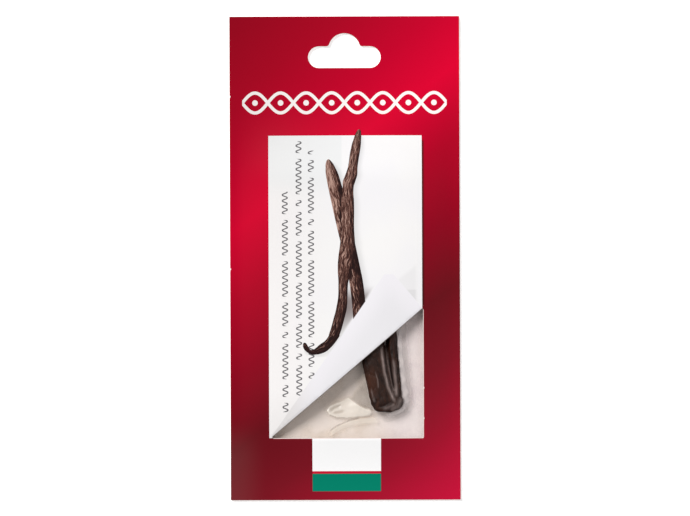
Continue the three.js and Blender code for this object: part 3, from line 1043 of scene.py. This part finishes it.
def crossed_pods(colour, x, y, panel):
    """The pod behind, then the one in front: each is a gentle curve up the pack with a half width that
    changes along it, and across runs from -1 to 1 over it. The front one's foot is a second curve, that
    runs to the left and turns up. Both throw a soft shadow to their right, a brown one between their
    lower ends."""
    behind = (x - y.curve(*BEHIND_MIDDLE)) / y.curve(*BEHIND_HALF)
    behind_on = (1 - abs(behind)).over(0.0) * within(y, FOOT_LEVEL, BEHIND_END)
    behind_shade = behind.ease(2.2, 0.8) * behind.over(-0.8) * y.ease(BEHIND_END, BEHIND_END - 3.6)

    front = (x - y.curve(*FRONT_MIDDLE)) / y.curve(*FRONT_HALF)
    foot = (FOOT_LEVEL - y).over(0.0)
    across = front + ((x.curve(*FOOT_MIDDLE) - y) / x.curve(*FOOT_HALF) - front) * foot
    length = y + (x * 1.2 - 27.0 - y) * foot
    front_on = (1 - abs(across)).over(0.0) * within(y, -40.0, FRONT_END) * within(x, LEFT_END, 12.0)
    front_shade = across.ease(2.3, 0.8) * across.over(-0.8) * y.ease(FRONT_END, FRONT_END - 4.3)
    front_shade = front_shade * within(x, LEFT_END + 0.5, 12.0) * y.over(-38.5)
    colour = dimmed(colour, behind_shade.high(front_shade) * panel * 0.2)
    between = (y * 0.68 + 19.2 - x).ease(-0.3, 1.2) * y.ease(-10.0, -17.0) * y.ease(-33.0, -19.0)
    colour = mix(between * across.over(0.0) * 0.76, colour, tint(96, 72, 68))

    beside_front = across.ease(-2.0, -1.0) * (0.0 - across).over(0.9) * y.over(FOOT_LEVEL)
    gloom = y.ease(34.0, -20.0) * 0.34 + front_shade * 0.42 + beside_front * 0.4 + behind * 0.3 - 0.16
    gloom = gloom + y.ease(-11.0, -17.0) * 0.25
    colour = mix(behind_on * panel, colour, printed_skin(behind, y + 90.0, gloom))
    gloom = y.ease(20.0, -32.0) * 0.3 + y.ease(-18.0, -36.0) * 0.3 - 0.04
    return mix(front_on, colour, printed_skin(across, length, gloom))


def turned_corner(colour, x, y, panel):
    """The page's corner over the pods: inside three lines, one of which cuts its tip off short. Its shadow
    falls to the right."""
    upper = -8.2 - (x - 20.4) * 1.174 - y
    corner = ((x + 29.0) * 1.43 - 69.65 - y).low(-6.3 - y).low(upper)
    fallen = (x * 0.81 - 24.0 - y).ease(0.0, 2.5) * upper.ease(0.2, -0.4) * x.ease(28.6, 26.8) * x.over(19.5)
    colour = dimmed(colour, fallen * (0.06 + y.ease(-12.0, -12.8) * 0.1) * panel)
    lifted = mix(corner.ease(0.0, 16.0), tint(247, 244, 248), tint(239, 237, 240))
    lifted = mix(x.ease(-10.0, -24.0), lifted, tint(235, 231, 230))
    return mix(corner.ease(-0.3, 0.3) * panel, colour, lifted)


def twist(colour, x, y):
    """A twist across the head: two sine waves that cross, with a bead in each loop."""
    level = y - TWIST_LEVEL
    wave, half = sine_line(x, TWIST_LENGTH, TWIST_REACH, TWIST_STROKE)
    strand = (half - abs(level - wave).low(abs(level + wave))).over(0.0)
    from_bead = TWIST_LENGTH / 4 - abs(x).maths("PINGPONG", TWIST_LENGTH / 4)
    bead = (BEAD_RADIUS**2 - from_bead * from_bead - level * level).over(0.0)
    return mix(strand.high(bead) * within(x, -TWIST_END, TWIST_END), colour, tint(255, 250, 247))


def label(colour, x, y):
    """The label: white above, green below, and a red rule between."""
    lower = mix(y.over(LABEL_RULE[0]), tint(0, 127, 103), tint(200, 22, 50))
    fields = mix(y.over(LABEL_RULE[1]), lower, tint(255, 254, 254))
    return mix(within(x, *LABEL_X) * within(y, *LABEL_Y), colour, fields)


def front_print(x, y, point):
    """The print from the ground up: red, panel, waves, pods, turned corner, twist and label, with painted
    shade and light over it.
    """
    panel = within(x, *PANEL_X) * within(y, *PANEL_Y)
    # Paler and pinker towards the lower left corner.
    paler_corner = x.ease(-30.0, -44.0) * y.ease(-62.0, -80.0)
    colour = mix(paler_corner * 0.045, red_print_and_reflection(x, y), tint(200, 170, 165))
    colour = waves(white_panel(colour, x, y, point, panel), x, y)
    colour = turned_corner(crossed_pods(colour, x, y, panel), x, y, panel)
    colour = twist(colour, x, y)

    # Painted shade and light that offset the light on the swell: darker towards the left, where the light
    # falls more fully, and lighter towards the right, most of all near the head.
    colour = dimmed(colour, 0.05 - x * (y.ease(-20.0, 20.0) * 0.0011 + 0.0016))
    # Painted shade on the swell's upper slope near the head, which faces the light.
    colour = dimmed(colour, y.ease(30.0, 50.0) * y.ease(68.0, 56.0) * 0.05)
    colour = label(colour, x, y)

    # Pale nicks are left where the die's bridges tore, on the left edge and the window's right one.
    for nick_x, nick_y in NICKS:
        off_x, off_y = x - nick_x, y - nick_y
        colour = mix((NICK_SQUARE - off_x * off_x - off_y * off_y).over(0.0), colour, tint(240, 222, 218))
    return colour


front_leaf = board(
    "front_leaf",
    (card_outline, window_outline, hole_outline),
    (0.06, 0.2, 0.04),
    under_front,
    over_front,
    (lacquered("printed_leaf", front_print), cut_board("greyed_cut", slanting_side), PLAIN),
)
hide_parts("card")
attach(front_leaf, "root")

# The table, the lights and the camera.
# A plain white table, a wide soft light from the upper left and a weaker one from the lower right, and a long
# lens straight above the pack.
TABLE_REACH = 3.0
table_mesh = bpy.data.meshes.new("table")
corners = [(TABLE_REACH * x, TABLE_REACH * y, 0.0) for x, y in ((-1, -1), (1, -1), (1, 1), (-1, 1))]
table_mesh.from_pydata(corners, [], [(0, 1, 2, 3)])
table = new_object("table", table_mesh)
table_finish, shader, _ = new_material("table_top", Roughness=0.9, Specular_IOR_Level=0.1)
shader.inputs["Base Color"].default_value = (0.95, 0.95, 0.95, 1.0)
shader.inputs["Emission Color"].default_value = (1.0, 1.0, 1.0, 1.0)
shader.inputs["Emission Strength"].default_value = 0.35
table_mesh.materials.append(table_finish)


def sun(name, direction, strength, width):
    """A light as wide as width degrees of sky, from a direction."""
    lamp = bpy.data.lights.new(name, "SUN")
    lamp.energy = strength
    lamp.angle = math.radians(width)
    placed = new_object(name, lamp)
    placed.rotation_mode = "QUATERNION"
    placed.rotation_quaternion = Vector(direction).to_track_quat("Z", "Y")


sun("window_light", (-0.57, 0.58, 0.72), strength=2.88, width=30)
sun("fill_light", (0.7, -0.35, 0.6), strength=0.6, width=60)
world = bpy.data.worlds.new("studio")
world.use_nodes = True
background = world.node_tree.nodes["Background"]
background.inputs["Color"].default_value = (1.0, 1.0, 1.0, 1.0)
background.inputs["Strength"].default_value = 0.3
bpy.context.scene.world = world
bpy.context.scene.view_settings.view_transform = "Standard"

PIXEL = 0.3916 * MM
PHOTO_WIDTH = 690
DISTANCE = 1.3
CAMERA_UP, TURN = 0.06, -0.2
camera_data = bpy.data.cameras.new("camera")
camera_data.lens = camera_data.sensor_width * DISTANCE / (PHOTO_WIDTH * PIXEL)
camera = new_object("camera", camera_data)
camera.location = (0.0, CAMERA_UP * MM, DISTANCE)
camera.rotation_euler = (0.0, 0.0, math.radians(TURN))
bpy.context.scene.camera = camera
